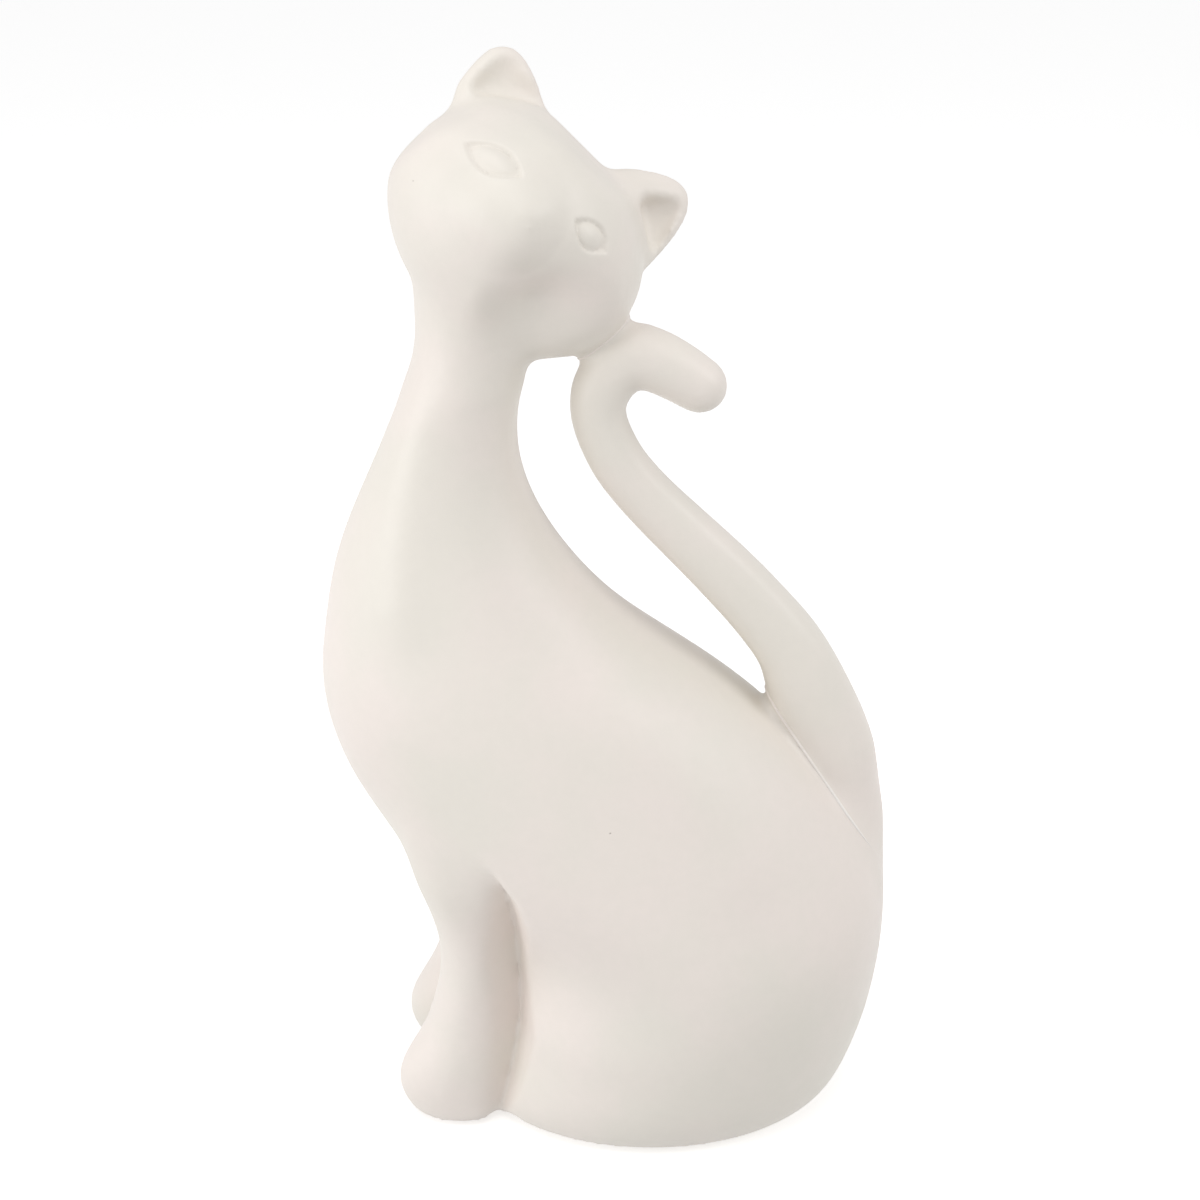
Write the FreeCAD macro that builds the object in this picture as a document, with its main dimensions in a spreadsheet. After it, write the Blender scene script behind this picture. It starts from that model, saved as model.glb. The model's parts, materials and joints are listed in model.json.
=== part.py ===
"""Seated cat figurine in slip-cast ceramic, head turned to the side and resting on the tail.

Millimetres. +Z is up and the table top is Z = 0. The cat's chest faces -X, its face looks towards -Y and the
tail rises from the rump at +X. The origin is on the table, under the middle of the figure.

Real pieces: the hollow body casting with its front legs, the hollow head casting, the tail, the three layers of
slip that join them, and four felt pads under the foot.
"""
import FreeCAD, Part

import os
from collections import namedtuple
from math import cos, pi, sin

os.makedirs("parts", exist_ok=True)
doc = FreeCAD.newDocument("cat_figurine")

# ---------------------------------------------------------------- driving sizes
SIZES = (
    # alias, value, meaning
    ("body_long", 127.4, "front of the chest to the back of the rump"),
    ("body_broad", 81.0, "across the haunches"),
    ("seam_level", 170.0, "table to the seam in the neck"),
    ("neck_deep", 25.9, "neck at the seam, front to back"),
    ("neck_broad", 26.4, "neck at the seam, side to side"),
    ("neck_back", 31.1, "middle of the neck, in front of the middle of the figure"),
    ("wall", 5.0, "level thickness of the cast wall"),
    ("floor_thick", 6.0, "thickness of the closed foot"),
    ("vent_bore", 9.0, "vent and pour hole through the foot"),
    ("leg_rise", 79.0, "foot of a front leg to where it is lost in the chest"),
    ("leg_across", 19.0, "front leg at the shin"),
    ("leg_spread", 31.0, "middle of one front leg to the middle of the other"),
    ("leg_reach", 31.2, "shin in front of the middle of the figure"),
    ("head_broad", 59.0, "cheek to cheek"),
    ("head_tall", 46.8, "crown to chin"),
    ("head_deep", 48.0, "back of the skull to the face, without the muzzle"),
    ("head_back", 11.7, "middle of the head behind the middle of the neck"),
    ("head_rise", 32.5, "middle of the head above the neck seam"),
    ("face_tilt", 38.6, "degrees that the face leans over towards the tail"),
    ("face_lift", 28.6, "degrees that the face looks up"),
    ("face_turn", 3.4, "degrees that the face is turned away from the tail"),
    ("cheek_droop", 11.2, "degrees that the cheeks lean further than the face"),
    ("muzzle_broad", 21.0, "muzzle, side to side"),
    ("muzzle_tall", 13.5, "muzzle, top to bottom"),
    ("muzzle_out", 4.0, "muzzle in front of the face"),
    ("eye_spread", 25.8, "middle of one eye to the middle of the other"),
    ("eye_rise", 1.8, "eyes above the middle of the head"),
    ("eye_broad", 10.6, "eyeball, side to side"),
    ("eye_tall", 6.4, "eyeball, top to bottom"),
    ("eye_proud", 0.9, "eyeball in front of the face"),
    ("ear_spread", 35.0, "root of one ear to the root of the other"),
    ("ear_rise", 17.5, "roots of the ears above the middle of the head"),
    ("ear_tall", 13.2, "root to tip of an ear"),
    ("ear_broad", 21.6, "ear across its root"),
    ("ear_thick", 11.0, "ear from front to back at its root"),
    ("ear_splay", 29.7, "degrees that each ear leans outwards"),
    ("ear_rim", 3.6, "rim left around the hollow of an ear"),
    ("ear_hollow", 3.2, "depth of the hollow of an ear"),
    ("tail_across", 12.4, "tail where it crosses behind the neck"),
    ("tail_root_across", 19.2, "tail where it leaves the rump"),
    ("hook_across", 14.2, "tail over the bend under the cheek"),
    ("hook_nestle", 1.2, "depth of the cheek that the tail is pressed into"),
    ("slip_thick", 0.5, "layer of slip in each joint"),
    ("pad_across", 10.0, "felt pad"),
    ("pad_thick", 1.0, "felt pad"),
    ("pad_inset", 9.0, "middle of a rear pad from the edge of the foot"),
)
sheet = doc.addObject("Spreadsheet::Sheet", "Sizes")
for row, (alias, value, meaning) in enumerate(SIZES, start=1):
    sheet.set(f"A{row}", meaning)
    sheet.set(f"B{row}", str(value))
    sheet.setAlias(f"B{row}", alias)
doc.recompute()

# ---------------------------------------------------------------- helpers
# The section that every ring is scaled from: a plain cubic spline through points on the unit circle, which the
# lofts and booleans follow more surely than a true circle stretched out of round.
RING_POINTS = 12
ring_curve = Part.BSplineCurve()
ring_curve.interpolate(
    Points=[FreeCAD.Vector(cos(2 * pi * n / RING_POINTS), sin(2 * pi * n / RING_POINTS), 0)
            for n in range(RING_POINTS)],
    PeriodicFlag=True,
)
unit_ring = doc.addObject("Part::Feature", "unit_ring")
unit_ring.Shape = ring_curve.toShape()

Ring = namedtuple("Ring", "x y z half_x half_y turn")


def bind(obj, **expressions):
    """Bind the named properties of an object to expressions over the sheet of sizes."""
    for prop, expression in expressions.items():
        obj.setExpression(prop.replace("__", "."), expression)
    return obj


def place(obj, x="0", y="0", z="0", turn="0"):
    """Place an object at a point, turned about the Y axis from +Z towards +X."""
    obj.setExpression("Placement", f"placement(vector({x}; {y}; {z}); rotation(vector(0; 1; 0); {turn}))")
    return obj


def ring(name, spec, grow="0"):
    """One elliptical section: the unit ring scaled to its two half sizes, then placed."""
    section = doc.addObject("Part::Scale", name)
    section.Base = unit_ring
    section.Uniform = False
    section.ZScale = 1
    bind(section, XScale=f"{spec.half_x} + {grow}", YScale=f"{spec.half_y} + {grow}")
    return place(section, spec.x, spec.y, spec.z, spec.turn)


def loft(name, specs, grow="0"):
    """A closed solid through a row of elliptical sections."""
    solid = doc.addObject("Part::Loft", name)
    solid.Sections = [ring(f"{name}_ring_{n:02d}", spec, grow) for n, spec in enumerate(specs)]
    solid.Solid = True
    return solid


def ellipsoid(name, half_x, half_y, half_z):
    """A whole ellipsoid about its own middle."""
    ball = doc.addObject("Part::Ellipsoid", name)
    ball.Angle1 = -90
    ball.Angle2 = 90
    return bind(ball, Radius1=half_z, Radius2=half_x, Radius3=half_y)


def fuse(name, pieces):
    """Several solids joined into one."""
    joined = doc.addObject("Part::MultiFuse", name)
    joined.Shapes = pieces
    joined.Refine = False
    return joined


def cut(name, base, tool):
    """One solid with another taken away."""
    result = doc.addObject("Part::Cut", name)
    result.Base = base
    result.Tool = tool
    result.Refine = False
    return result


def common(name, base, tool):
    """What two solids share."""
    result = doc.addObject("Part::Common", name)
    result.Base = base
    result.Tool = tool
    result.Refine = False
    return result


# ---------------------------------------------------------------- body
# Level sections from the foot to the neck. The level runs from 0 at the foot to 1 at the neck seam, front and
# back are shares of half the body's length, and broad is a share of half its breadth.
TRUNK = (
    # level, front, back, broad
    (0.000, -0.470, 0.735, 0.790),
    (0.013, -0.520, 0.828, 0.874),
    (0.041, -0.520, 0.873, 0.928),
    (0.101, -0.470, 0.928, 0.975),
    (0.183, -0.413, 0.973, 1.000),
    (0.266, -0.436, 0.991, 0.990),
    (0.337, -0.633, 0.962, 0.958),
    (0.408, -0.802, 0.868, 0.914),
    (0.491, -0.925, 0.716, 0.852),
    (0.574, -0.990, 0.500, 0.778),
    (0.657, -0.989, 0.196, 0.679),
    (0.746, -0.949, -0.080, 0.556),
    (0.834, -0.871, -0.240, 0.440),
    (0.911, -0.779, -0.306, 0.360),
)
SEAT = 2  # the first section that the cavity follows


def trunk_ring(level, front, back, broad, lift="0"):
    """A level section of the trunk from its shares of the overall sizes."""
    return Ring(
        x=f"Sizes.body_long / 2 * {(front + back) / 2:.4f}",
        y="0",
        z=f"Sizes.pad_thick + (Sizes.seam_level - Sizes.pad_thick) * {level} + {lift}",
        half_x=f"Sizes.body_long / 2 * {(back - front) / 2:.4f}",
        half_y=f"Sizes.body_broad / 2 * {broad}",
        turn="0",
    )


def seam_ring(lift):
    """The neck's section at the seam, lifted above it or, with a minus, let down below it."""
    return Ring(x="-Sizes.neck_back", y="0", z=f"Sizes.seam_level + {lift}", half_x="Sizes.neck_deep / 2",
                half_y="Sizes.neck_broad / 2", turn="0")


# The lofts start under the foot's plane, each at a depth of its own, and are trimmed flat together below.
trunk_rings = [trunk_ring(*row) for row in TRUNK] + [seam_ring("0")]
sole_ring = trunk_rings[0]._replace(z="0")
trunk = loft("trunk", [sole_ring] + trunk_rings[1:])
grown_rings = [sole_ring._replace(z="-Sizes.slip_thick")] + trunk_rings[1:-1] + [seam_ring("Sizes.slip_thick")]
trunk_grown = loft("trunk_grown", grown_rings, grow="Sizes.slip_thick")

floor_ring = trunk_ring(*TRUNK[SEAT])._replace(z="Sizes.pad_thick + Sizes.floor_thick")
cavity = loft("cavity", [floor_ring] + trunk_rings[SEAT + 1:] + [seam_ring("Sizes.wall")], grow="-Sizes.wall")

vent = doc.addObject("Part::Cylinder", "vent")
bind(vent, Radius="Sizes.vent_bore / 2", Height="Sizes.floor_thick * 2 + Sizes.pad_thick")
place(vent, x=floor_ring.x)

# Front legs, straight down from the chest to a rounded paw. The level is a share of the leg's rise, ahead is in
# leg widths in front of the shin, and long and broad are in leg widths.
LEG = (
    # level, ahead, long, broad
    (0.000, 0.11, 1.05, 0.84),
    (0.032, 0.16, 1.36, 0.97),
    (0.101, 0.17, 1.49, 1.03),
    (0.215, 0.06, 1.32, 1.01),
    (0.342, -0.07, 1.12, 0.98),
    (0.494, -0.14, 1.02, 0.99),
    (0.646, -0.05, 1.04, 1.05),
    (0.823, 0.22, 1.05, 1.10),
    (1.000, 0.36, 0.90, 0.90),
)


def leg_rings(side):
    """Level sections of the front leg on one side, -1 for the side that the face looks to."""
    return [
        Ring(
            x=f"-Sizes.leg_reach - Sizes.leg_across * {ahead}",
            y=f"Sizes.leg_spread / 2 * {side}",
            z=f"Sizes.pad_thick + Sizes.leg_rise * {level}" if level else "-Sizes.pad_thick",
            half_x=f"Sizes.leg_across / 2 * {long}",
            half_y=f"Sizes.leg_across / 2 * {broad}",
            turn="0",
        )
        for level, ahead, long, broad in LEG
    ]


leg_near = loft("leg_near", leg_rings(-1))
leg_far = loft("leg_far", leg_rings(1))
under_foot = doc.addObject("Part::Box", "under_foot")
bind(under_foot, Length="Sizes.body_long * 2", Width="Sizes.body_broad * 2", Height="Sizes.body_broad")
place(under_foot, x="-Sizes.body_long", y="-Sizes.body_broad", z="Sizes.pad_thick - Sizes.body_broad")
body_solid = cut("body_solid", fuse("body_blank", [trunk, leg_near, leg_far]), under_foot)
body_casting = cut("body_casting", body_solid, fuse("body_hollow", [cavity, vent]))

# ---------------------------------------------------------------- head
# The head is shaped upright about its own middle, looking towards -Y. Its skull is leaned over, and the face and
# ears are lifted, leaned over and turned as one.
HEAD_X = "-Sizes.neck_back + Sizes.head_back"
HEAD_Z = "Sizes.seam_level + Sizes.head_rise"


def lean(obj):
    """Put a piece shaped about the upright head's middle into its place: lifted, leaned over and turned."""
    obj.setExpression(
        "Placement",
        f"placement(vector({HEAD_X}; 0; {HEAD_Z}); rotation(vector(0; 0; 1); -Sizes.face_turn)"
        " * rotation(vector(0; 1; 0); Sizes.face_tilt) * rotation(vector(1; 0; 0); -Sizes.face_lift))",
    )
    return obj


def skull(name, grow="0"):
    """The egg of the head, grown or shrunk by an even amount, in its leaning place."""
    egg = ellipsoid(name, f"Sizes.head_broad / 2 + {grow}", f"Sizes.head_deep / 2 + {grow}",
                    f"Sizes.head_tall / 2 + {grow}")
    return place(egg, x=HEAD_X, z=HEAD_Z, turn="Sizes.face_tilt + Sizes.cheek_droop")


# The ear's sections, from its buried root to the tip: height along the ear, breadth and thickness.
EAR = (
    # height, broad, thick
    (-0.25, 1.08, 1.05),
    (0.00, 1.00, 1.00),
    (0.30, 0.84, 0.84),
    (0.60, 0.64, 0.66),
    (0.84, 0.42, 0.46),
    (0.95, 0.25, 0.30),
    (1.00, 0.09, 0.12),
)


def ear(name, side):
    """One ear, shaped upright at the middle of the head, leaning outwards to its side."""
    outward = f"Sizes.ear_splay * {side}"
    return loft(name, [
        Ring(
            x=f"Sizes.ear_spread / 2 * {side} + Sizes.ear_tall * {height} * sin({outward})",
            y="0",
            z=f"Sizes.ear_rise + Sizes.ear_tall * {height} * cos({outward})",
            half_x=f"Sizes.ear_broad / 2 * {broad}",
            half_y=f"Sizes.ear_thick / 2 * {thick}",
            turn=outward,
        )
        for height, broad, thick in EAR
    ])


def ear_scoop(name, side):
    """The hollow in the front of one ear."""
    outward = f"Sizes.ear_splay * {side}"
    scoop = ellipsoid(name, "Sizes.ear_broad / 2 - Sizes.ear_rim", "Sizes.ear_hollow",
                      "Sizes.ear_tall / 2 - Sizes.ear_rim / 2")
    return place(
        scoop,
        x=f"Sizes.ear_spread / 2 * {side} + Sizes.ear_tall * 0.42 * sin({outward})",
        y="-Sizes.ear_thick / 2 * 0.8",
        z=f"Sizes.ear_rise + Sizes.ear_tall * 0.42 * cos({outward})",
        turn=outward,
    )


def eye(name, side):
    """One almond eyeball, standing a little proud of the face."""
    ball = ellipsoid(name, "Sizes.eye_broad / 2", "Sizes.head_deep / 8", "Sizes.eye_tall / 2")
    out = ("Sizes.head_deep / 2 * sqrt(1 - (Sizes.eye_spread / Sizes.head_broad) ^ 2"
           " - (Sizes.eye_rise * 2 / Sizes.head_tall) ^ 2)")
    return place(ball, x=f"Sizes.eye_spread / 2 * {side}", y=f"-({out}) + Sizes.head_deep / 8 - Sizes.eye_proud",
                 z="Sizes.eye_rise")


muzzle = ellipsoid("muzzle", "Sizes.muzzle_broad / 2", "Sizes.head_deep / 4", "Sizes.muzzle_tall / 2")
place(muzzle, y="-Sizes.head_deep / 4 - Sizes.muzzle_out", z="-Sizes.muzzle_tall / 3")

ears = fuse("ears", [ear("ear_left", -1), ear("ear_right", 1)])
scoops = fuse("ear_scoops", [ear_scoop("scoop_left", -1), ear_scoop("scoop_right", 1)])
features = lean(fuse("features", [muzzle, eye("eye_left", -1), eye("eye_right", 1)]))
hollow_ears = lean(cut("hollow_ears", ears, scoops))

# The neck's upper end, from the slip in the seam up into the skull.
NAPE = (
    # rise, back, deep, broad
    (0.00, 0.00, 1.00, 1.00),
    (0.31, 0.30, 1.04, 1.02),
    (0.62, 0.54, 1.26, 1.14),
    (0.92, 0.80, 1.31, 1.14),
)
nape_rings = [
    Ring(
        x=f"-Sizes.neck_back + Sizes.head_back * {back}",
        y="0",
        z=f"Sizes.seam_level + Sizes.slip_thick + (Sizes.head_rise - Sizes.slip_thick) * {rise}",
        half_x=f"Sizes.neck_deep / 2 * {deep}",
        half_y=f"Sizes.neck_broad / 2 * {broad}",
        turn="0",
    )
    for rise, back, deep, broad in NAPE
]
nape = loft("nape", nape_rings)
nape_hollow = loft("nape_hollow", [seam_ring("-Sizes.wall")] + nape_rings[1:], "-Sizes.wall")
head_solid = fuse("head_solid", [skull("skull"), nape, hollow_ears, features])
head_hollow = fuse("head_hollow", [skull("skull_hollow", "-Sizes.wall"), nape_hollow])
head_casting = cut("head_casting", head_solid, head_hollow)

# ---------------------------------------------------------------- tail
# The tail leaves the rump, rises forward to the cheek, bends over under it and ends in a rounded tip that points
# back. Three stretches make its route: sunk in the rump, free, and the hook that the cheek lies on.
Knot = namedtuple("Knot", "x z across flat")

# Sunk stretch: behind and level are the trunk's own shares, across is in root widths, and flat is side to side.
SUNK = (
    # behind, level, across, flat
    (0.819, 0.272, 0.78, 0.85),
    (0.848, 0.349, 0.91, 0.88),
    (0.829, 0.429, 0.96, 0.90),
    (0.773, 0.509, 0.98, 0.90),
    (0.678, 0.592, 0.93, 0.92),
)
# Free stretch: run and climb go from 0 at the last sunk place to 1 at the start of the hook, in tail widths.
FREE = (
    # run, climb, across
    (0.095, 0.143, 1.23),
    (0.242, 0.289, 1.13),
    (0.414, 0.431, 1.08),
    (0.599, 0.572, 1.02),
    (0.781, 0.712, 0.98),
    (0.918, 0.846, 0.96),
)
# Hook: behind and above the bend under the cheek, and across, all in hook widths.
HOOK = (
    # behind, above, across
    (-0.415, -0.915, 0.84),
    (-0.340, -0.415, 0.92),
    (0.000, 0.000, 1.00),
    (0.380, -0.070, 0.96),
    (0.750, -0.245, 0.91),
    (1.060, -0.440, 0.85),
    (1.240, -0.585, 0.79),
)
CHEEK = "(Sizes.face_tilt + Sizes.cheek_droop)"
CHEEK_TO_BEND = "(Sizes.head_broad / 2 + Sizes.hook_across / 2 - Sizes.hook_nestle)"
BEND_X = f"({HEAD_X} + {CHEEK_TO_BEND} * cos({CHEEK}))"
BEND_Z = f"({HEAD_Z} - {CHEEK_TO_BEND} * sin({CHEEK}))"

sunk = [
    Knot(
        x=f"(Sizes.body_long / 2 * {behind})",
        z=f"(Sizes.pad_thick + (Sizes.seam_level - Sizes.pad_thick) * {level})",
        across=f"Sizes.tail_root_across / 2 * {across}",
        flat=flat,
    )
    for behind, level, across, flat in SUNK
]
hook = [
    Knot(
        x=f"({BEND_X} + Sizes.hook_across * {behind})",
        z=f"({BEND_Z} + Sizes.hook_across * {above})",
        across=f"Sizes.hook_across / 2 * {across}",
        flat=1,
    )
    for behind, above, across in HOOK
]
start, end = sunk[-1], hook[0]
free = [
    Knot(
        x=f"({start.x} + ({end.x} - {start.x}) * {run})",
        z=f"({start.z} + ({end.z} - {start.z}) * {climb})",
        across=f"Sizes.tail_across / 2 * {across}",
        flat=1,
    )
    for run, climb, across in FREE
]
route = sunk + free + hook


def tail_rings():
    """Sections square to the tail's route, each turned to the line between its two neighbours."""
    rings = []
    for n, knot in enumerate(route):
        before = route[max(n - 1, 0)]
        after = route[min(n + 1, len(route) - 1)]
        rings.append(Ring(
            x=knot.x,
            y="0",
            z=knot.z,
            half_x=knot.across,
            half_y=f"{knot.across} * {knot.flat}",
            turn=f"atan2({after.x} - {before.x}; {after.z} - {before.z})",
        ))
    return rings


TIP_FULLNESS = 1.07  # the round tip is this much fuller than the end of the sweep that it closes over


def tail(name, grow="0"):
    """The whole tail with its round tip, grown by an even amount."""
    tip = route[-1]
    ball = ellipsoid(f"{name}_tip", *[f"{tip.across} * {TIP_FULLNESS} + {grow}"] * 3)
    place(ball, x=tip.x, z=tip.z)
    return fuse(name, [loft(f"{name}_sweep", tail_rings(), grow), ball])


tail_solid = tail("tail_solid")
tail_grown = tail("tail_grown", grow="Sizes.slip_thick")
skull_grown = skull("skull_grown", "Sizes.slip_thick")
tail_casting = cut("tail_casting", tail_solid, fuse("tail_seats", [trunk_grown, skull_grown]))

# ---------------------------------------------------------------- slip in the three joints
# Each layer fills its joint and is squeezed out by its own thickness round the edge.
slip_at_rump = common("slip_at_rump", cut("rump_skin", trunk_grown, trunk), tail_grown)
slip_at_cheek = cut("slip_at_cheek", common("cheek_joint", tail_grown, skull_grown), head_solid)

neck_joint = loft("neck_joint", [seam_ring("0"), seam_ring("Sizes.slip_thick")])
neck_bore = loft("neck_bore", [seam_ring("-Sizes.wall"), seam_ring("Sizes.wall")], "-Sizes.wall")
slip_at_neck = cut("slip_at_neck", neck_joint, neck_bore)

# ---------------------------------------------------------------- felt pads
# Two pads are under the paws and two are behind, in from the edge of the foot.
FOOT = trunk_rings[0]
PAW_X = leg_rings(-1)[0].x
REAR_TURN = 40


def felt_pad(name, x, y):
    """One round felt pad between the table and the foot."""
    pad = doc.addObject("Part::Cylinder", name)
    bind(pad, Radius="Sizes.pad_across / 2", Height="Sizes.pad_thick")
    return place(pad, x=x, y=y)


rear_x = f"{FOOT.x} + ({FOOT.half_x} - Sizes.pad_inset) * cos({REAR_TURN})"
rear_y = f"({FOOT.half_y} - Sizes.pad_inset) * sin({REAR_TURN})"
pads = [
    felt_pad("felt_pad_front_near", PAW_X, "-Sizes.leg_spread / 2"),
    felt_pad("felt_pad_front_far", PAW_X, "Sizes.leg_spread / 2"),
    felt_pad("felt_pad_rear_near", rear_x, f"-{rear_y}"),
    felt_pad("felt_pad_rear_far", rear_x, rear_y),
]

# ---------------------------------------------------------------- check and write
doc.recompute()
for obj in doc.Objects:
    if "Invalid" in obj.State or "Error" in obj.State:
        raise RuntimeError(f"{obj.Name} failed: {obj.State}")

nodes = [body_casting, head_casting, tail_casting, slip_at_rump, slip_at_cheek, slip_at_neck] + pads
for node in nodes:
    if node.Shape.isNull() or not node.Shape.isValid() or len(node.Shape.Solids) != 1:
        raise RuntimeError(f"{node.Label} isn't one sound solid")
for node in nodes:
    node.Shape.exportStep(f"parts/{node.Label}.step")
    box = node.Shape.BoundBox
    print(f"{node.Label:22s} {node.Shape.Volume / 1000:8.2f} cm3  x {box.XMin:7.2f} {box.XMax:7.2f}"
          f"  y {box.YMin:7.2f} {box.YMax:7.2f}  z {box.ZMin:7.2f} {box.ZMax:7.2f}")
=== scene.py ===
"""Seated cat figurine in matt slip-cast ceramic, its head leaning on the hook of its tail.

Metres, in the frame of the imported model: +Z is up, the table is Z = 0, the chest faces -X and the face
looks towards -Y. The clay is joined in one blank, smoothed and modelled as clay is, then parted again at
its joints.
"""
import json
import logging
import math
from contextlib import contextmanager
from dataclasses import dataclass, field
from enum import Enum
from typing import Callable, Iterator, Sequence

import bpy
import numpy as np
from mathutils import Matrix, Vector

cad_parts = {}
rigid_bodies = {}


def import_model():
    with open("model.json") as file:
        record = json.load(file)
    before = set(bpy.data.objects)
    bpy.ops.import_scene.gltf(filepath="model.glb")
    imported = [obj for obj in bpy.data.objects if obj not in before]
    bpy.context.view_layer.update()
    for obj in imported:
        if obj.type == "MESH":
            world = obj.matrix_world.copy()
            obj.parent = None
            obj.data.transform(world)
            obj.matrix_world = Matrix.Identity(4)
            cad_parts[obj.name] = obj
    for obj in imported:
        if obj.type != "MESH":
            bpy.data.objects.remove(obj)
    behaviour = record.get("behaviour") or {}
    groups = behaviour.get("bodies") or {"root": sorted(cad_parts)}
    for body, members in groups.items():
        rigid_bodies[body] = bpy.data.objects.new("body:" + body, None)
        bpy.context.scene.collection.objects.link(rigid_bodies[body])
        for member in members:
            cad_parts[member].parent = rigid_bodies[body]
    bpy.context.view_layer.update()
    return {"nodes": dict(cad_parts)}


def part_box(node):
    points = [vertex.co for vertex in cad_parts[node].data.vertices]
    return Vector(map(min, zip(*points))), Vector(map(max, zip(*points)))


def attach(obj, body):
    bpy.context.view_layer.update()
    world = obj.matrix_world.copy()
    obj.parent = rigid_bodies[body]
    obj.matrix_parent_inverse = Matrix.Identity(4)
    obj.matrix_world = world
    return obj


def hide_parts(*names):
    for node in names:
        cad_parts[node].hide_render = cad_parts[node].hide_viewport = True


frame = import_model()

logging.basicConfig(level=logging.INFO, format="%(name)s: %(message)s")
log = logging.getLogger("cat_figurine")

MM = 0.001


# ---------------------------------------------------------------- bench tools
def put_down() -> None:
    """Deselect every object, so that the next tool acts on nothing else."""
    if bpy.context.object is not None and bpy.context.object.mode != "OBJECT":
        bpy.ops.object.mode_set(mode="OBJECT")
    for other in bpy.context.view_layer.objects:
        other.select_set(False)


def pick_up(obj: bpy.types.Object, *others: bpy.types.Object) -> bpy.types.Object:
    """Select one object as the active one, with any others beside it."""
    put_down()
    for other in (obj, *others):
        other.select_set(True)
    bpy.context.view_layer.objects.active = obj
    return obj


@contextmanager
def editing(obj: bpy.types.Object) -> Iterator[bpy.types.Object]:
    """Open one object in edit mode, with all of its mesh selected, and close it again."""
    pick_up(obj)
    bpy.ops.object.mode_set(mode="EDIT")
    bpy.ops.mesh.select_mode(type="VERT")
    bpy.ops.mesh.select_all(action="SELECT")
    try:
        yield obj
    finally:
        bpy.ops.object.mode_set(mode="OBJECT")


def named(name: str) -> bpy.types.Object:
    """Name the object in hand and its mesh.

    Args:
        name: The name of the piece.

    Returns:
        The object.
    """
    obj = bpy.context.object
    obj.name = name
    obj.data.name = name
    return obj


def settle(obj: bpy.types.Object) -> bpy.types.Object:
    """Put the object's place, turn and scale into its mesh."""
    pick_up(obj)
    bpy.ops.object.transform_apply(location=True, rotation=True, scale=True)
    return obj


def modify(obj: bpy.types.Object, kind: str, **settings: object) -> bpy.types.Object:
    """Add one modifier and apply it.

    Args:
        obj: The piece to work on.
        kind: The modifier's type.
        settings: Its settings by name.

    Returns:
        The same piece.
    """
    pick_up(obj)
    bpy.ops.object.modifier_add(type=kind)
    modifier = obj.modifiers[-1]
    for key, value in settings.items():
        setattr(modifier, key, value)
    bpy.ops.object.modifier_apply(modifier=modifier.name)
    return obj


def put_in_scene(name: str, data: bpy.types.ID) -> bpy.types.Object:
    """Make an object of a mesh, curve, light or camera, and put it in the scene."""
    obj = bpy.data.objects.new(name, data)
    bpy.context.scene.collection.objects.link(obj)
    return obj


def loose_shells(obj: bpy.types.Object) -> list[bpy.types.Object]:
    """Take a piece apart in its loose shells."""
    with editing(obj):
        bpy.ops.mesh.separate(type="LOOSE")
    return [shell for shell in bpy.context.selected_objects if shell.type == "MESH"]


def copy_of(node: str, name: str) -> bpy.types.Object:
    """Copy a node of the frame as a piece of its own, with its doubled points merged.

    Args:
        node: The node's name.
        name: The new piece's name.

    Returns:
        The copy.
    """
    obj = put_in_scene(name, frame["nodes"][node].data.copy())
    obj.data.materials.clear()
    with editing(obj):
        bpy.ops.mesh.remove_doubles(threshold=2e-6)
    return obj


def join(name: str, pieces: Sequence[bpy.types.Object]) -> bpy.types.Object:
    """Join several pieces in one mesh.

    Args:
        name: The joined piece's name.
        pieces: The pieces, which are used up.

    Returns:
        The joined piece.
    """
    pick_up(*pieces)
    bpy.ops.object.join()
    return named(name)


def points_of(obj: bpy.types.Object) -> np.ndarray:
    """The piece's points, one row of x, y, z each."""
    co = np.empty(len(obj.data.vertices) * 3)
    obj.data.vertices.foreach_get("co", co)
    return co.reshape(-1, 3)


def normals_of(obj: bpy.types.Object) -> np.ndarray:
    """The directions that the piece's surface faces at its points."""
    no = np.empty(len(obj.data.vertices) * 3)
    obj.data.vertices.foreach_get("normal", no)
    return no.reshape(-1, 3)


def set_points(obj: bpy.types.Object, co: np.ndarray) -> None:
    """Move the piece's points to new places."""
    obj.data.vertices.foreach_set("co", np.ascontiguousarray(co, dtype=np.float64).ravel())
    obj.data.update()


def ramp(value: np.ndarray, start: float, end: float) -> np.ndarray:
    """A soft step from 0 at start to 1 at end, where end may be below start."""
    t = np.clip((value - start) / (end - start), 0.0, 1.0)
    return t * t * (3.0 - 2.0 * t)


def near(co: np.ndarray, centre: Sequence[float], inner: float, outer: float) -> np.ndarray:
    """A weight of 1 within the inner distance of a point, falling softly to 0 at the outer one."""
    return ramp(np.linalg.norm(co - np.asarray(centre, float), axis=1), outer, inner)


@dataclass(frozen=True)
class Spot:
    """A round patch of clay, in millimetres: a tool works fully within inner, and not past outer.

    Attributes:
        x: Middle, along X.
        y: Middle, along Y.
        z: Middle, up.
        inner: The inner distance.
        outer: The outer distance.
    """

    x: float
    y: float
    z: float
    inner: float
    outer: float

    def weight(self, co: np.ndarray) -> np.ndarray:
        """How fully a tool works at each point, 0 to 1."""
        return near(co, np.array([self.x, self.y, self.z]) * MM, self.inner * MM, self.outer * MM)

    def pair(self) -> tuple["Spot", "Spot"]:
        """This spot and the one opposite, on the other side of the figure."""
        return self, Spot(self.x, -self.y, self.z, self.inner, self.outer)


def patch(co: np.ndarray, spots: Sequence[Spot]) -> np.ndarray:
    """How fully a tool works at each point within several spots together."""
    return np.maximum.reduce([spot.weight(co) for spot in spots])


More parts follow.
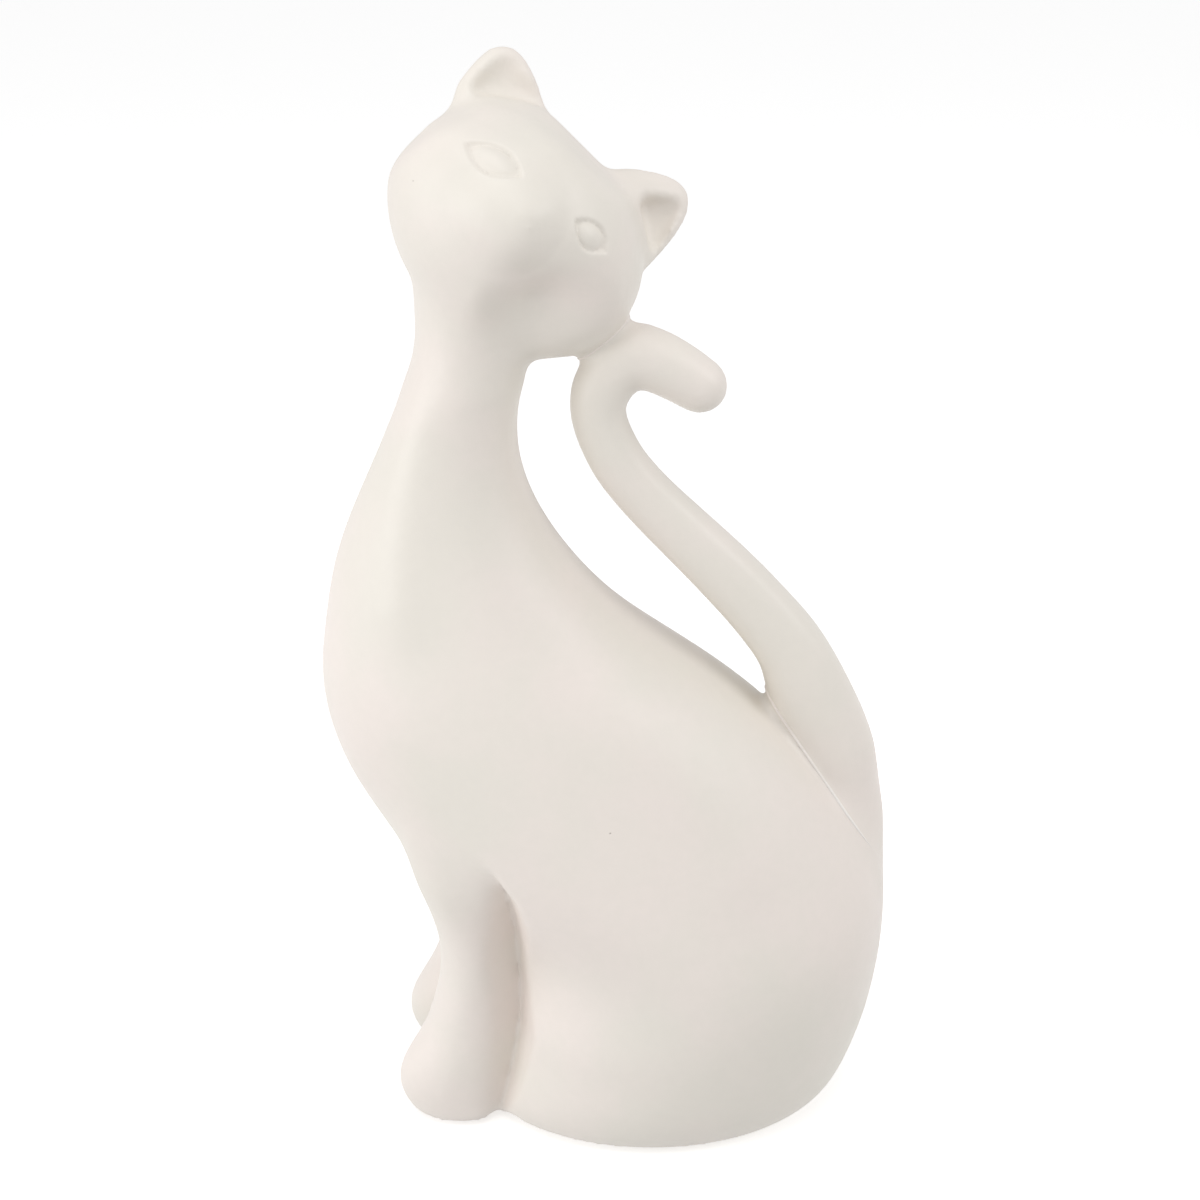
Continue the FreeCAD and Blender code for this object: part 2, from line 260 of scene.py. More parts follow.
def along(co: np.ndarray, path: np.ndarray) -> tuple[np.ndarray, np.ndarray]:
    """Distance from each point to a line of straight runs, and how far along the line that is.

    Args:
        co: The points.
        path: The line's corners in order.

    Returns:
        The distances, and the places along the line from 0 to 1.
    """
    runs = np.linalg.norm(np.diff(path, axis=0), axis=1)
    starts = np.concatenate([[0.0], np.cumsum(runs)])
    best = np.full(len(co), 1e9)
    place = np.zeros(len(co))
    for a, b, start, run in zip(path[:-1], path[1:], starts[:-1], runs):
        t = np.clip((co - a) @ (b - a) / run**2, 0.0, 1.0)
        gap = np.linalg.norm(co - (a + t[:, None] * (b - a)), axis=1)
        closer = gap < best
        best[closer] = gap[closer]
        place[closer] = (start + t[closer] * run) / starts[-1]
    return best, place


def relax(obj: bpy.types.Object, weight: np.ndarray, rounds: int, factor: float = 0.5) -> None:
    """Smooth the clay where the weight is above 0.

    Args:
        obj: The piece to smooth.
        weight: How much of the smoothing each point takes, 0 to 1.
        rounds: How many times the tool passes over it.
        factor: How far a point goes towards the middle of its neighbours in one pass.
    """
    group = obj.vertex_groups.new(name="relax")
    steps = np.round(np.clip(weight, 0.0, 1.0) * 20).astype(int)
    for step in range(1, 21):
        members = np.nonzero(steps == step)[0]
        if len(members):
            group.add(members.tolist(), step / 20, "REPLACE")
    modify(obj, "SMOOTH", factor=factor, iterations=rounds, vertex_group="relax")
    obj.vertex_groups.clear()


def select_faces(obj: bpy.types.Object, test: Callable[[np.ndarray], np.ndarray]) -> None:
    """Select the faces whose middles pass a test, for the next edit-mode tool.

    Args:
        obj: The piece, in object mode.
        test: Takes the middles of the faces and says which to select.
    """
    mesh = obj.data
    mid = np.empty(len(mesh.polygons) * 3)
    mesh.polygons.foreach_get("center", mid)
    chosen = test(mid.reshape(-1, 3))
    mesh.vertices.foreach_set("select", np.zeros(len(mesh.vertices), bool))
    mesh.edges.foreach_set("select", np.zeros(len(mesh.edges), bool))
    mesh.polygons.foreach_set("select", chosen)
    marked = np.zeros(len(mesh.vertices), bool)
    for index in np.nonzero(chosen)[0]:
        marked[list(mesh.polygons[index].vertices)] = True
    mesh.vertices.foreach_set("select", marked)


def part_at(obj: bpy.types.Object, point: Vector, normal: Vector,
            region: Callable[[np.ndarray], np.ndarray]) -> None:
    """Cut the skin through with a wire held in a plane, within one region only.

    Args:
        obj: The piece to cut.
        point: A point of the plane.
        normal: The plane's direction.
        region: Says which faces the wire passes, from their middles.
    """
    pick_up(obj)
    select_faces(obj, region)
    bpy.ops.object.mode_set(mode="EDIT")
    bpy.ops.mesh.select_mode(type="FACE")
    bpy.ops.mesh.bisect(plane_co=point, plane_no=normal, threshold=2e-6)
    bpy.ops.mesh.select_mode(type="EDGE")
    bpy.ops.mesh.edge_split(type="EDGE")
    bpy.ops.object.mode_set(mode="OBJECT")


def close_openings(obj: bpy.types.Object) -> None:
    """Close every open edge of a piece with a flat face."""
    with editing(obj):
        bpy.ops.mesh.select_all(action="DESELECT")
        bpy.ops.mesh.select_mode(type="EDGE")
        bpy.ops.mesh.select_non_manifold(extend=False, use_wire=False, use_boundary=True,
                                         use_multi_face=False, use_non_contiguous=False, use_verts=False)
        bpy.ops.mesh.fill(use_beauty=True)


def shade_soft(obj: bpy.types.Object, angle: float = 50.0) -> bpy.types.Object:
    """Shade the piece smooth, except over edges sharper than the angle in degrees."""
    pick_up(obj)
    bpy.ops.object.shade_smooth_by_angle(angle=math.radians(angle), keep_sharp_edges=False)
    return obj


@dataclass(frozen=True)
class Station:
    """One place along a rolled coil of clay: its middle and the coil's half thicknesses there.

    Attributes:
        x: Middle, along X.
        z: Middle, up.
        half: Half thickness in the X-Z plane.
        flat: Half thickness along Y as a share of half.
        square: Squareness of the section, 2 for a round one.
    """

    x: float
    z: float
    half: float
    flat: float = 1.0
    square: float = 2.0


def curve_through(stations: Sequence[Station], steps: int) -> list[Station]:
    """Put even steps between stations on a smooth line through them all.

    Args:
        stations: The places that the line passes.
        steps: Steps between one station and the next.

    Returns:
        The stations with the new ones between them.
    """
    rows = np.array([[s.x, s.z, s.half, s.flat, s.square] for s in stations])
    padded = np.vstack([2 * rows[0] - rows[1], rows, 2 * rows[-1] - rows[-2]])
    result = []
    for n in range(1, len(padded) - 2):
        p0, p1, p2, p3 = padded[n - 1:n + 3]
        for t in np.arange(steps) / steps:
            result.append(Station(*(0.5 * (2 * p1 + (p2 - p0) * t + (2 * p0 - 5 * p1 + 4 * p2 - p3) * t**2
                                           + (3 * p1 - p0 - 3 * p2 + p3) * t**3))))
    return result + [stations[-1]]


def roll_coil(name: str, stations: Sequence[Station], sides: int = 32) -> bpy.types.Object:
    """Roll a closed coil of clay along stations in the X-Z plane, ring by ring from one end.

    Args:
        name: The piece's name.
        stations: The places it passes, in millimetres, in order.
        sides: Points round each ring.

    Returns:
        The coil.
    """
    def heading(n: int) -> float:
        """Angle of the coil's run at a station, from +Z towards +X."""
        before, after = stations[max(n - 1, 0)], stations[min(n + 1, len(stations) - 1)]
        return math.atan2(after.x - before.x, after.z - before.z)

    first = stations[0]
    put_down()
    bpy.ops.mesh.primitive_circle_add(vertices=sides, radius=first.half * MM, fill_type="NGON",
                                      location=(first.x * MM, 0, first.z * MM), rotation=(0, heading(0), 0))
    coil = settle(named(name))
    with editing(coil):
        for n in range(1, len(stations)):
            here, last = stations[n], stations[n - 1]
            middle = Vector((here.x * MM, 0, here.z * MM))
            bpy.ops.mesh.extrude_region_move(
                TRANSFORM_OT_translate={"value": ((here.x - last.x) * MM, 0, (here.z - last.z) * MM)})
            grow = here.half / last.half
            bpy.ops.transform.resize(value=(grow, grow, grow), center_override=middle)
            turn = heading(n) - heading(n - 1)
            bpy.ops.transform.rotate(value=-turn, orient_axis="Y", center_override=middle)
        bpy.ops.mesh.select_all(action="SELECT")
        bpy.ops.mesh.normals_make_consistent(inside=False)
    co = points_of(coil)
    for n, station in enumerate(stations):
        ring = slice(n * sides, (n + 1) * sides)
        middle = np.array([station.x, 0, station.z]) * MM
        across = np.array([math.cos(heading(n)), 0, -math.sin(heading(n))])
        arm = co[ring] - middle
        u, v = arm @ across / (station.half * MM), arm[:, 1] / (station.half * MM)
        length = (np.abs(u)**station.square + np.abs(v)**station.square)**(1 / station.square)
        round_length = np.maximum(np.hypot(u, v), 1e-9)
        stretch = (round_length / np.maximum(length, 1e-9))[:, None]
        section = np.outer(u, across) + np.outer(v * station.flat, [0, 1, 0])
        co[ring] = middle + section * station.half * MM * stretch
    set_points(coil, co)
    return coil


# ---------------------------------------------------------------- finishes
class Tone(Enum):
    """Colours of the fired clay and of the felt, with the slip's tone lightened as a painted highlight."""

    CLAY_WARM = (0.842, 0.772, 0.722)
    CLAY_COOL = (0.800, 0.760, 0.694)
    # The slip beads are real; their lighter tone is a painted highlight along the joints.
    SLIP = (0.900, 0.865, 0.835)
    SPECK = (0.30, 0.26, 0.23)
    FELT = (0.62, 0.60, 0.57)
    FELT_DARK = (0.42, 0.40, 0.38)

    @property
    def rgba(self) -> tuple[float, float, float, float]:
        """The colour with full opacity."""
        return (*self.value, 1.0)


class Nodes:
    """A short hand for laying out one material's nodes."""

    def __init__(self, name: str) -> None:
        """Start a material with a principled shader.

        Args:
            name: The material's name.
        """
        self.material = bpy.data.materials.new(name)
        self.material.use_nodes = True
        self.tree = self.material.node_tree
        self.shader = self.tree.nodes["Principled BSDF"]
        self.position = self.add("ShaderNodeTexCoord").outputs["Object"]

    def add(self, kind: str, inputs: dict | None = None, **settings: object) -> bpy.types.Node:
        """Add a node, with values or links for its inputs and settings by name."""
        node = self.tree.nodes.new(kind)
        for key, value in settings.items():
            setattr(node, key, value)
        for key, value in (inputs or {}).items():
            if isinstance(value, bpy.types.NodeSocket):
                self.tree.links.new(value, node.inputs[key])
            else:
                node.inputs[key].default_value = value
        return node

    def noise(self, per_metre: float, detail: float = 2.0, rough: float = 0.5) -> bpy.types.NodeSocket:
        """Cloudy noise over the piece, with so many clouds to the metre."""
        return self.add("ShaderNodeTexNoise", {"Vector": self.position, "Scale": per_metre, "Detail": detail,
                                               "Roughness": rough}).outputs["Fac"]

    def spread(self, value: bpy.types.NodeSocket, low: float, high: float, to_low: float = 0.0,
               to_high: float = 1.0) -> bpy.types.NodeSocket:
        """Stretch a value from one range to another, held at its ends."""
        return self.add("ShaderNodeMapRange", {"Value": value, "From Min": low, "From Max": high,
                                               "To Min": to_low, "To Max": to_high},
                        interpolation_type="SMOOTHSTEP").outputs["Result"]

    def maths(self, kind: str, a: object, b: object) -> bpy.types.NodeSocket:
        """One sum of two values."""
        return self.add("ShaderNodeMath", {0: a, 1: b}, operation=kind).outputs[0]

    def mix(self, share: object, a: object, b: object) -> bpy.types.NodeSocket:
        """A colour between two others."""
        node = self.add("ShaderNodeMix", data_type="RGBA")
        for index, value in ((0, share), (6, a), (7, b)):
            if isinstance(value, bpy.types.NodeSocket):
                self.tree.links.new(value, node.inputs[index])
            else:
                node.inputs[index].default_value = value
        return node.outputs[2]

    def bump(self, height: bpy.types.NodeSocket, depth: float, strength: float = 1.0,
             under: bpy.types.NodeSocket | None = None) -> bpy.types.NodeSocket:
        """Raise the surface by a height, over any bump already there.

        Args:
            height: The height, 0 to 1.
            depth: What a height of 1 is, in metres.
            strength: How much of it shows.
            under: The bump that this one lies on.

        Returns:
            The surface's new direction.
        """
        inputs = {"Height": height, "Distance": depth, "Strength": strength}
        if under is not None:
            inputs["Normal"] = under
        return self.add("ShaderNodeBump", inputs).outputs["Normal"]


@dataclass(frozen=True)
class CeramicFinish:
    """Matt fired clay with a satin sheen, faint clouds of tone, fine grain and rare dark pinholes.

    Attributes:
        name: The material's name.
        warm: Its warmer tone.
        cool: Its cooler tone.
        rough: Mean roughness.
        grain: Height of the fine grain, in metres.
        pinholes: Share of the pinhole cells that hold one.
    """

    name: str = "matt_ceramic"
    warm: Tone = Tone.CLAY_WARM
    cool: Tone = Tone.CLAY_COOL
    rough: float = 0.44
    grain: float = 0.000016
    pinholes: float = 0.10

    def material(self) -> bpy.types.Material:
        """Lay the finish out as a material."""
        n = Nodes(self.name)
        clouds = n.spread(n.noise(22, 3, 0.55), 0.35, 0.65)
        mottle = n.spread(n.noise(420, 3, 0.6), 0.30, 0.70)
        tone = n.mix(clouds, self.warm.rgba, self.cool.rgba)
        shade = (*(0.90 * channel for channel in self.cool.value), 1.0)
        tone = n.mix(n.maths("MULTIPLY", mottle, 0.10), tone, shade)
        cells = n.add("ShaderNodeTexVoronoi", {"Vector": n.position, "Scale": 105.0, "Randomness": 1.0})
        near_middle = n.spread(cells.outputs["Distance"], 0.026, 0.008)
        chosen = n.maths("GREATER_THAN", n.add("ShaderNodeSeparateColor", {"Color": cells.outputs["Color"]})
                         .outputs["Red"], 1.0 - self.pinholes)
        pinhole = n.maths("MULTIPLY", near_middle, chosen)
        tone = n.mix(n.maths("MULTIPLY", pinhole, 0.60), tone, Tone.SPECK.rgba)
        n.tree.links.new(tone, n.shader.inputs["Base Color"])
        rough = n.spread(n.noise(180, 3, 0.6), 0.30, 0.70, self.rough - 0.035, self.rough + 0.035)
        n.tree.links.new(rough, n.shader.inputs["Roughness"])
        n.shader.inputs["Specular IOR Level"].default_value = 0.42
        grain = n.bump(n.noise(3200, 2, 0.55), self.grain)
        ripple = n.bump(n.noise(140, 2, 0.5), 0.00005, 1.0, grain)
        pits = n.bump(n.maths("SUBTRACT", 1.0, pinhole), 0.00012, 1.0, ripple)
        n.tree.links.new(pits, n.shader.inputs["Normal"])
        return n.material


@dataclass(frozen=True)
class FeltFinish:
    """Pressed wool felt with tangled fibres and a soft nap.

    Attributes:
        name: The material's name.
    """

    name: str = "pressed_felt"

    def material(self) -> bpy.types.Material:
        """Lay the finish out as a material."""
        n = Nodes(self.name)
        fibres = n.noise(2600, 4, 0.7)
        tufts = n.noise(700, 3, 0.6)
        nap = n.spread(n.maths("MULTIPLY", fibres, tufts), 0.12, 0.40)
        tone = n.mix(nap, Tone.FELT_DARK.rgba, Tone.FELT.rgba)
        n.tree.links.new(tone, n.shader.inputs["Base Color"])
        n.shader.inputs["Roughness"].default_value = 0.95
        n.shader.inputs["Sheen Weight"].default_value = 0.5
        n.shader.inputs["Sheen Roughness"].default_value = 0.6
        n.tree.links.new(n.bump(tufts, 0.00025, 1.0, n.bump(fibres, 0.00012)), n.shader.inputs["Normal"])
        return n.material


def dress(obj: bpy.types.Object, material: bpy.types.Material, slot: str, *nodes: str) -> bpy.types.Object:
    """Give a piece its finish, its body and the nodes that it stands for.

    Args:
        obj: The piece.
        material: Its finish.
        slot: The record's material slot; not used.
        nodes: The nodes of the frame that it replaces.

    Returns:
        The piece.
    """
    obj.data.materials.clear()
    obj.data.materials.append(material)
    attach(obj, "root")
    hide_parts(*nodes)
    log.info("%s stands for %s: %d faces", obj.name, ", ".join(nodes), len(obj.data.polygons))
    return obj


# ---------------------------------------------------------------- head
@dataclass(frozen=True)
class Eye:
    """One eye: an almond recess with a domed eyeball in it. Millimetres of the face.

    Attributes:
        across: Middle, across the face.
        up: Middle, up the face.
        half_long: Half the almond, corner to corner.
        half_tall: Half the almond, lid to lid.
        recess: Depth of the recess at its rim.
        ball: Half sizes of the eyeball.
        dome: How far the eyeball stands out from the floor of the recess.
    """

    across: float
    up: float = 1.7
    half_long: float = 6.4
    half_tall: float = 3.5
    recess: float = 0.80
    ball: tuple[float, float] = (5.0, 2.95)
    dome: float = 1.0

    def relief(self, x: np.ndarray, z: np.ndarray) -> np.ndarray:
        """How far the eye stands out from the face, in millimetres, below 0 in its recess.

        Args:
            x: Places across the face, in millimetres.
            z: Places up the face.

        Returns:
            The heights.
        """
        u, v = x - self.across, z - self.up
        lid = self.half_tall * (1 - np.minimum(np.abs(u / self.half_long), 1.3)**2)
        inside = (lid - np.abs(v)) / np.hypot(1, 2 * self.half_tall * u / self.half_long**2)
        floor = -self.recess * ramp(inside, -0.20, 0.55)
        ball = np.maximum(1 - (u / self.ball[0])**2 - (v / self.ball[1])**2, 0)**0.7
        return floor + ball * self.dome


@dataclass(frozen=True)
class Snout:
    """The short soft snout, which falls away steeply underneath. Millimetres of the face.

    Attributes:
        middle: Its highest place, across and up the face.
        sides: Its reach to the left and to the right.
        reach: Its reach up and down.
        proud: How far it stands out.
        nose: How much further the tip of the nose does.
    """

    middle: tuple[float, float] = (-0.9, -6.2)
    sides: tuple[float, float] = (16.0, 9.0)
    reach: tuple[float, float] = (14.0, 9.0)
    proud: float = 3.0
    nose: float = 0.35

    def relief(self, x: np.ndarray, z: np.ndarray) -> np.ndarray:
        """How far the snout stands out from the face, in millimetres.

        Args:
            x: Places across the face, in millimetres.
            z: Places up the face.

        Returns:
            The heights.
        """
        dx, dz = x - self.middle[0], z - self.middle[1]
        wide = np.where(dx < 0, *self.sides)
        tall = np.where(dz > 0, *self.reach)
        out = np.minimum((dx / wide)**2 + (dz / tall)**2, 1)
        steep = np.clip(0.5 - dz / tall * 0.9 + dx / wide * 0.4, 0, 1)
        swell = (1 - out)**(2.1 - 0.75 * steep) * self.proud
        nose = self.nose * np.exp(-(dx**2 + (dz - 1.5)**2) / 3.0**2)
        return swell + nose


@dataclass
class Face:
    """Where the head's own features lie: upright, looking along -Y, with its middle at the head's middle.

    Attributes:
        half_broad: Half the skull, ear side to ear side.
        half_deep: Half the skull, front to back.
        half_tall: Half the skull, crown to chin.
        tilt: Degrees that the face leans over towards the tail.
        lift: Degrees that it looks up.
        turn: Degrees that it is turned away from the tail.
        droop: Degrees that the cheeks lean further than the face.
        across_share: Middle of the head as a share of the head casting's box, along X.
        up_share: The same, along Z.
        eyes: The eye over the chest and the one over the tail.
        snout: The snout.
        presses: Where the chin and then the crown are pressed in, and how far in millimetres.
        brow: Where the clay is smoothed above the eyes.
        ear_foot: Where the ear over the chest flows into the crown.
        lip: The soft lower lip, in millimetres of the face.
        temple: Where the temple over the tail is smoothed, in millimetres of the face.
    """

    half_broad: float = 29.5 * MM
    half_deep: float = 24.0 * MM
    half_tall: float = 23.4 * MM
    tilt: float = 38.6
    lift: float = 28.6
    turn: float = 3.4
    droop: float = 11.2
    across_share: float = 0.4203
    up_share: float = 0.4762
    eyes: tuple[Eye, ...] = (Eye(-12.7, half_long=6.6), Eye(11.9, 2.3, 5.0, 3.1, ball=(3.7, 2.6)))
    presses: tuple[tuple[Spot, float], ...] = (
        (Spot(-11.5, -22.0, 190.5, 1.0, 17.0), 3.6),
        (Spot(-13.0, -17.5, 184.0, 1.0, 18.0), 4.2),
        (Spot(-37.0, 0.0, 224.5, 3.0, 15.0), 2.4),
        (Spot(-21.0, -6.0, 228.5, 4.0, 17.0), 2.0),
        (Spot(-1.0, 0.0, 222.5, 4.0, 18.0), 2.7),
    )
    brow: tuple[Spot, Spot] = (Spot(-28.0, -12.0, 224.0, 4.0, 12.0), Spot(-18.0, -14.0, 224.0, 3.0, 10.0))
    ear_foot: Spot = Spot(-34.5, 2.0, 228.5, 2.0, 8.0)
    lip: Spot = Spot(-0.5, -25.0, -10.5, 4.0, 12.0)
    temple: tuple[Spot, Spot] = (Spot(15.5, -8.0, 18.0, 3.0, 8.0), Spot(19.0, -9.0, 13.0, 3.0, 8.0))
    snout: Snout = Snout()

    def middle(self) -> Vector:
        """The middle of the head."""
        low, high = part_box("head_casting")
        return Vector((low.x + (high.x - low.x) * self.across_share, 0.0,
                       low.z + (high.z - low.z) * self.up_share))

    def frame(self) -> Matrix:
        """The turn and place of the face."""
        return (Matrix.Translation(self.middle()) @ Matrix.Rotation(math.radians(-self.turn), 4, "Z")
                @ Matrix.Rotation(math.radians(self.tilt), 4, "Y")
                @ Matrix.Rotation(math.radians(-self.lift), 4, "X"))

    def skull_frame(self) -> Matrix:
        """The turn and place of the skull."""
        lean = math.radians(self.tilt + self.droop)
        return Matrix.Translation(self.middle()) @ Matrix.Rotation(lean, 4, "Y")

    def to_face(self, co: np.ndarray) -> np.ndarray:
        """Points of the frame as points of the face."""
        m = np.array(self.frame().inverted())
        return co @ m[:3, :3].T + m[:3, 3]

    def from_face(self, co: np.ndarray) -> np.ndarray:
        """Points of the face as points of the frame."""
        m = np.array(self.frame())
        return co @ m[:3, :3].T + m[:3, 3]

    def in_frame(self, spot: Spot) -> Spot:
        """A spot of the face as a spot of the frame."""
        middle = self.from_face(np.array([spot.x, spot.y, spot.z]) * MM) / MM
        return Spot(*middle, spot.inner, spot.outer)

    def skull_depth(self, co: np.ndarray) -> np.ndarray:
        """How far points of the frame stand out from the skull, in metres, about."""
        m = np.array(self.skull_frame().inverted())
        local = co @ m[:3, :3].T + m[:3, 3]
        q = local / np.array([self.half_broad, self.half_deep, self.half_tall])
        size = np.maximum(np.linalg.norm(q, axis=1), 1e-9)
        return np.linalg.norm(local, axis=1) * (1 - 1 / size)

    def features(self, head: bpy.types.Object) -> None:
        """Model the eyes and the snout on the parted head.

        Args:
            head: The head, which is first divided more finely.
        """
        modify(head, "SUBSURF", levels=1, render_levels=1)
        co = points_of(head)
        x, y, z = (self.to_face(co) / MM).T
        front = ramp(np.abs(x), 23.0, 18.5) * ramp(z, -18.0, -13.5)
        front = front * ramp(z, 13.0, 8.0) * ramp(y, -8.0, -13.0)
        relief = self.snout.relief(x, z) + sum(eye.relief(x, z) for eye in self.eyes)
        outward = co - np.array(self.middle())
        outward /= np.linalg.norm(outward, axis=1)[:, None]
        depth = self.skull_depth(co)
        raised = (relief * MM - depth) * front
        below = ramp(z, -8.0, -12.0)
        skin = np.maximum(front, np.maximum(ramp(depth, 3.5 * MM, 0.8 * MM), below))
        free = skin * self.free_of_joints(co)
        for spot, press in self.presses:
            raised -= spot.weight(co) * press * MM * free
        set_points(head, co + outward * raised[:, None])
        relax(head, front, 2)
        relax(head, patch(points_of(head), self.brow) * ramp(z, 6.5, 8.5), 50)
        relax(head, self.in_frame(self.lip).weight(points_of(head)), 130)
        relax(head, self.ear_foot.weight(points_of(head)), 90)

    def free_of_joints(self, co: np.ndarray) -> np.ndarray:
        """How freely the head's points may move: not at all where it meets the body and the tail."""
        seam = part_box("slip_at_neck")[1].z
        low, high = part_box("slip_at_cheek")
        over_neck = ramp(co[:, 2], seam + 1.5 * MM, seam + 9 * MM)
        return over_neck * (1 - near(co, (low + high) / 2, 7 * MM, 11 * MM))

    def skull(self) -> bpy.types.Object:
        """The egg of the skull, solid."""
        put_down()
        bpy.ops.mesh.primitive_uv_sphere_add(segments=96, ring_count=64, radius=1.0)
        egg = named("skull_blank")
        egg.scale = (self.half_broad, self.half_deep, self.half_tall)
        settle(egg)
        egg.matrix_world = self.skull_frame()
        return settle(egg)


@dataclass
class Ear:
    """One ear with its hollow, in the face's own place. Its corners are for the right side and are mirrored.

    Attributes:
        side: -1 for the ear over the chest, 1 for the one over the tail.
        hollow: The hollow's corners, across and up: the one at the tip, the inner one and the outer one.
        floors: How far back the hollow goes at those corners.
        root: Middle of its root, across and up.
        splay: Degrees that it leans outwards.
        rings: Height, breadth and thickness of its sections, as shares.
        tall: Root to tip.
        broad: Across the root.
        thick: Front to back at the root.
        mouth: How far in front of the face's middle the tool for the hollow begins.
        flare: How much wider that tool is there, as a share.
        rounding: Radius of the tool's edges.
    """

    side: int
    hollow: tuple[tuple[float, float], ...]
    floors: tuple[float, float, float]
    root: tuple[float, float] = (17.5, 17.5)
    splay: float = 29.7
    tall: float = 13.4
    broad: float = 21.6
    thick: float = 11.2
    mouth: float = -13.0
    flare: float = 0.15
    rounding: float = 1.7
    rings: tuple[tuple[float, float, float], ...] = (
        (-0.25, 1.08, 1.05),
        (0.00, 1.00, 1.00),
        (0.30, 0.84, 0.84),
        (0.60, 0.64, 0.66),
        (0.84, 0.42, 0.46),
        (0.95, 0.25, 0.30),
        (1.00, 0.09, 0.12),
    )

    def solid(self, face: Face) -> bpy.types.Object:
        """Pull the solid ear out of its root, ring by ring.

        Args:
            face: The face that it stands on.

        Returns:
            The ear, not yet hollow.
        """
        lean = math.radians(self.splay) * self.side
        axis = np.array([math.sin(lean), 0, math.cos(lean)])
        first = self.rings[0]
        start = np.array([self.root[0] * self.side, 0, self.root[1]]) + axis * self.tall * first[0]
        put_down()
        bpy.ops.mesh.primitive_circle_add(vertices=32, radius=1.0, fill_type="NGON")
        ear = named("ear_blank")
        ear.scale = (self.broad / 2 * first[1] * MM, self.thick / 2 * first[2] * MM, 1)
        ear.rotation_euler = (0, lean, 0)
        ear.location = Vector(start) * MM
        settle(ear)
        with editing(ear):
            for last, here in zip(self.rings, self.rings[1:]):
                middle = (start + axis * self.tall * (here[0] - first[0])) * MM
                step = axis * self.tall * (here[0] - last[0]) * MM
                bpy.ops.mesh.extrude_region_move(TRANSFORM_OT_translate={"value": tuple(step)})
                grow = here[1] / last[1]
                bpy.ops.transform.resize(value=(grow, here[2] / last[2], grow), center_override=tuple(middle))
            bpy.ops.mesh.select_all(action="SELECT")
            bpy.ops.mesh.normals_make_consistent(inside=False)
        modify(ear, "SUBSURF", levels=1, render_levels=1)
        ear.matrix_world = face.frame()
        return settle(ear)

    def gouge(self, face: Face) -> bpy.types.Object:
        """The shape of the hollow: a rounded three-sided wedge that ends behind the forehead.

        Args:
            face: The face that it stands on.

        Returns:
            The tool, to be taken away from the ear.
        """
        corners = [np.array(corner) for corner in self.hollow]
        middle = sum(corners) / 3
        put_down()
        bpy.ops.mesh.primitive_cone_add(vertices=3, radius1=1, radius2=1, depth=2, end_fill_type="NGON")
        tool = named("ear_gouge")
        co = points_of(tool)
        order = np.argsort(np.arctan2(co[:, 1], co[:, 0]).round(3), kind="stable")
        for rank, index in enumerate(order):
            corner = rank // 2
            spot = corners[corner]
            wide = spot + (spot - middle) * self.flare
            if co[index, 2] > 0:
                co[index] = [wide[0] * self.side, self.mouth, wide[1]]
            else:
                co[index] = [spot[0] * self.side, self.floors[corner], spot[1]]
        set_points(tool, co * MM)
        with editing(tool):
            bpy.ops.mesh.normals_make_consistent(inside=False)
            bpy.ops.mesh.bevel(offset=self.rounding * MM, segments=6, affect="EDGES")
            bpy.ops.mesh.normals_make_consistent(inside=False)
        tool.matrix_world = face.frame()
        return settle(tool)


@dataclass
class Tail:
    """The tail's route from inside the rump to its round tip, in millimetres of the frame.

    Attributes:
        knots: The places that it passes.
        steps: Steps from one to the next.
        tip_steps: Steps round the tip.
    """

    knots: tuple[Station, ...] = (
        Station(52.2, 47.0, 7.5, 0.86),
        Station(54.1, 60.0, 8.7, 0.88),
        Station(52.7, 73.5, 9.2, 0.90, 2.2),
        Station(49.2, 87.0, 9.4, 0.90, 2.5),
        Station(43.2, 101.0, 8.9, 0.92, 2.8),
        Station(39.3, 109.8, 7.6, 1.00, 2.9),
        Station(32.5, 118.7, 7.0, 1.00, 2.9),
        Station(24.5, 127.5, 6.7, 1.00, 2.8),
        Station(15.9, 136.2, 6.35, 1.00, 2.6),
        Station(7.5, 144.8, 6.05, 1.00, 2.4),
        Station(1.2, 153.0, 5.95, 1.00, 2.2),
        Station(-2.6, 162.5, 5.95),
        Station(-1.5, 169.6, 6.5),
        Station(3.3, 175.5, 7.0),
        Station(8.7, 174.7, 6.75),
        Station(14.0, 172.1, 6.4),
        Station(18.4, 169.3, 6.0),
    )
    steps: int = 4
    tip_steps: int = 6

    def solid(self) -> bpy.types.Object:
        """Roll the tail and round its tip."""
        route = curve_through(self.knots, self.steps)
        end, before = route[-1], route[-2]
        run = Vector((end.x - before.x, end.z - before.z)).normalized()
        for n in range(1, self.tip_steps + 1):
            angle = math.pi / 2 * n / self.tip_steps
            reach = end.half * 1.05 * math.sin(angle)
            route.append(Station(end.x + run.x * reach, end.z + run.y * reach,
                                 max(end.half * math.cos(angle), 0.35)))
        return roll_coil("tail_blank", route)


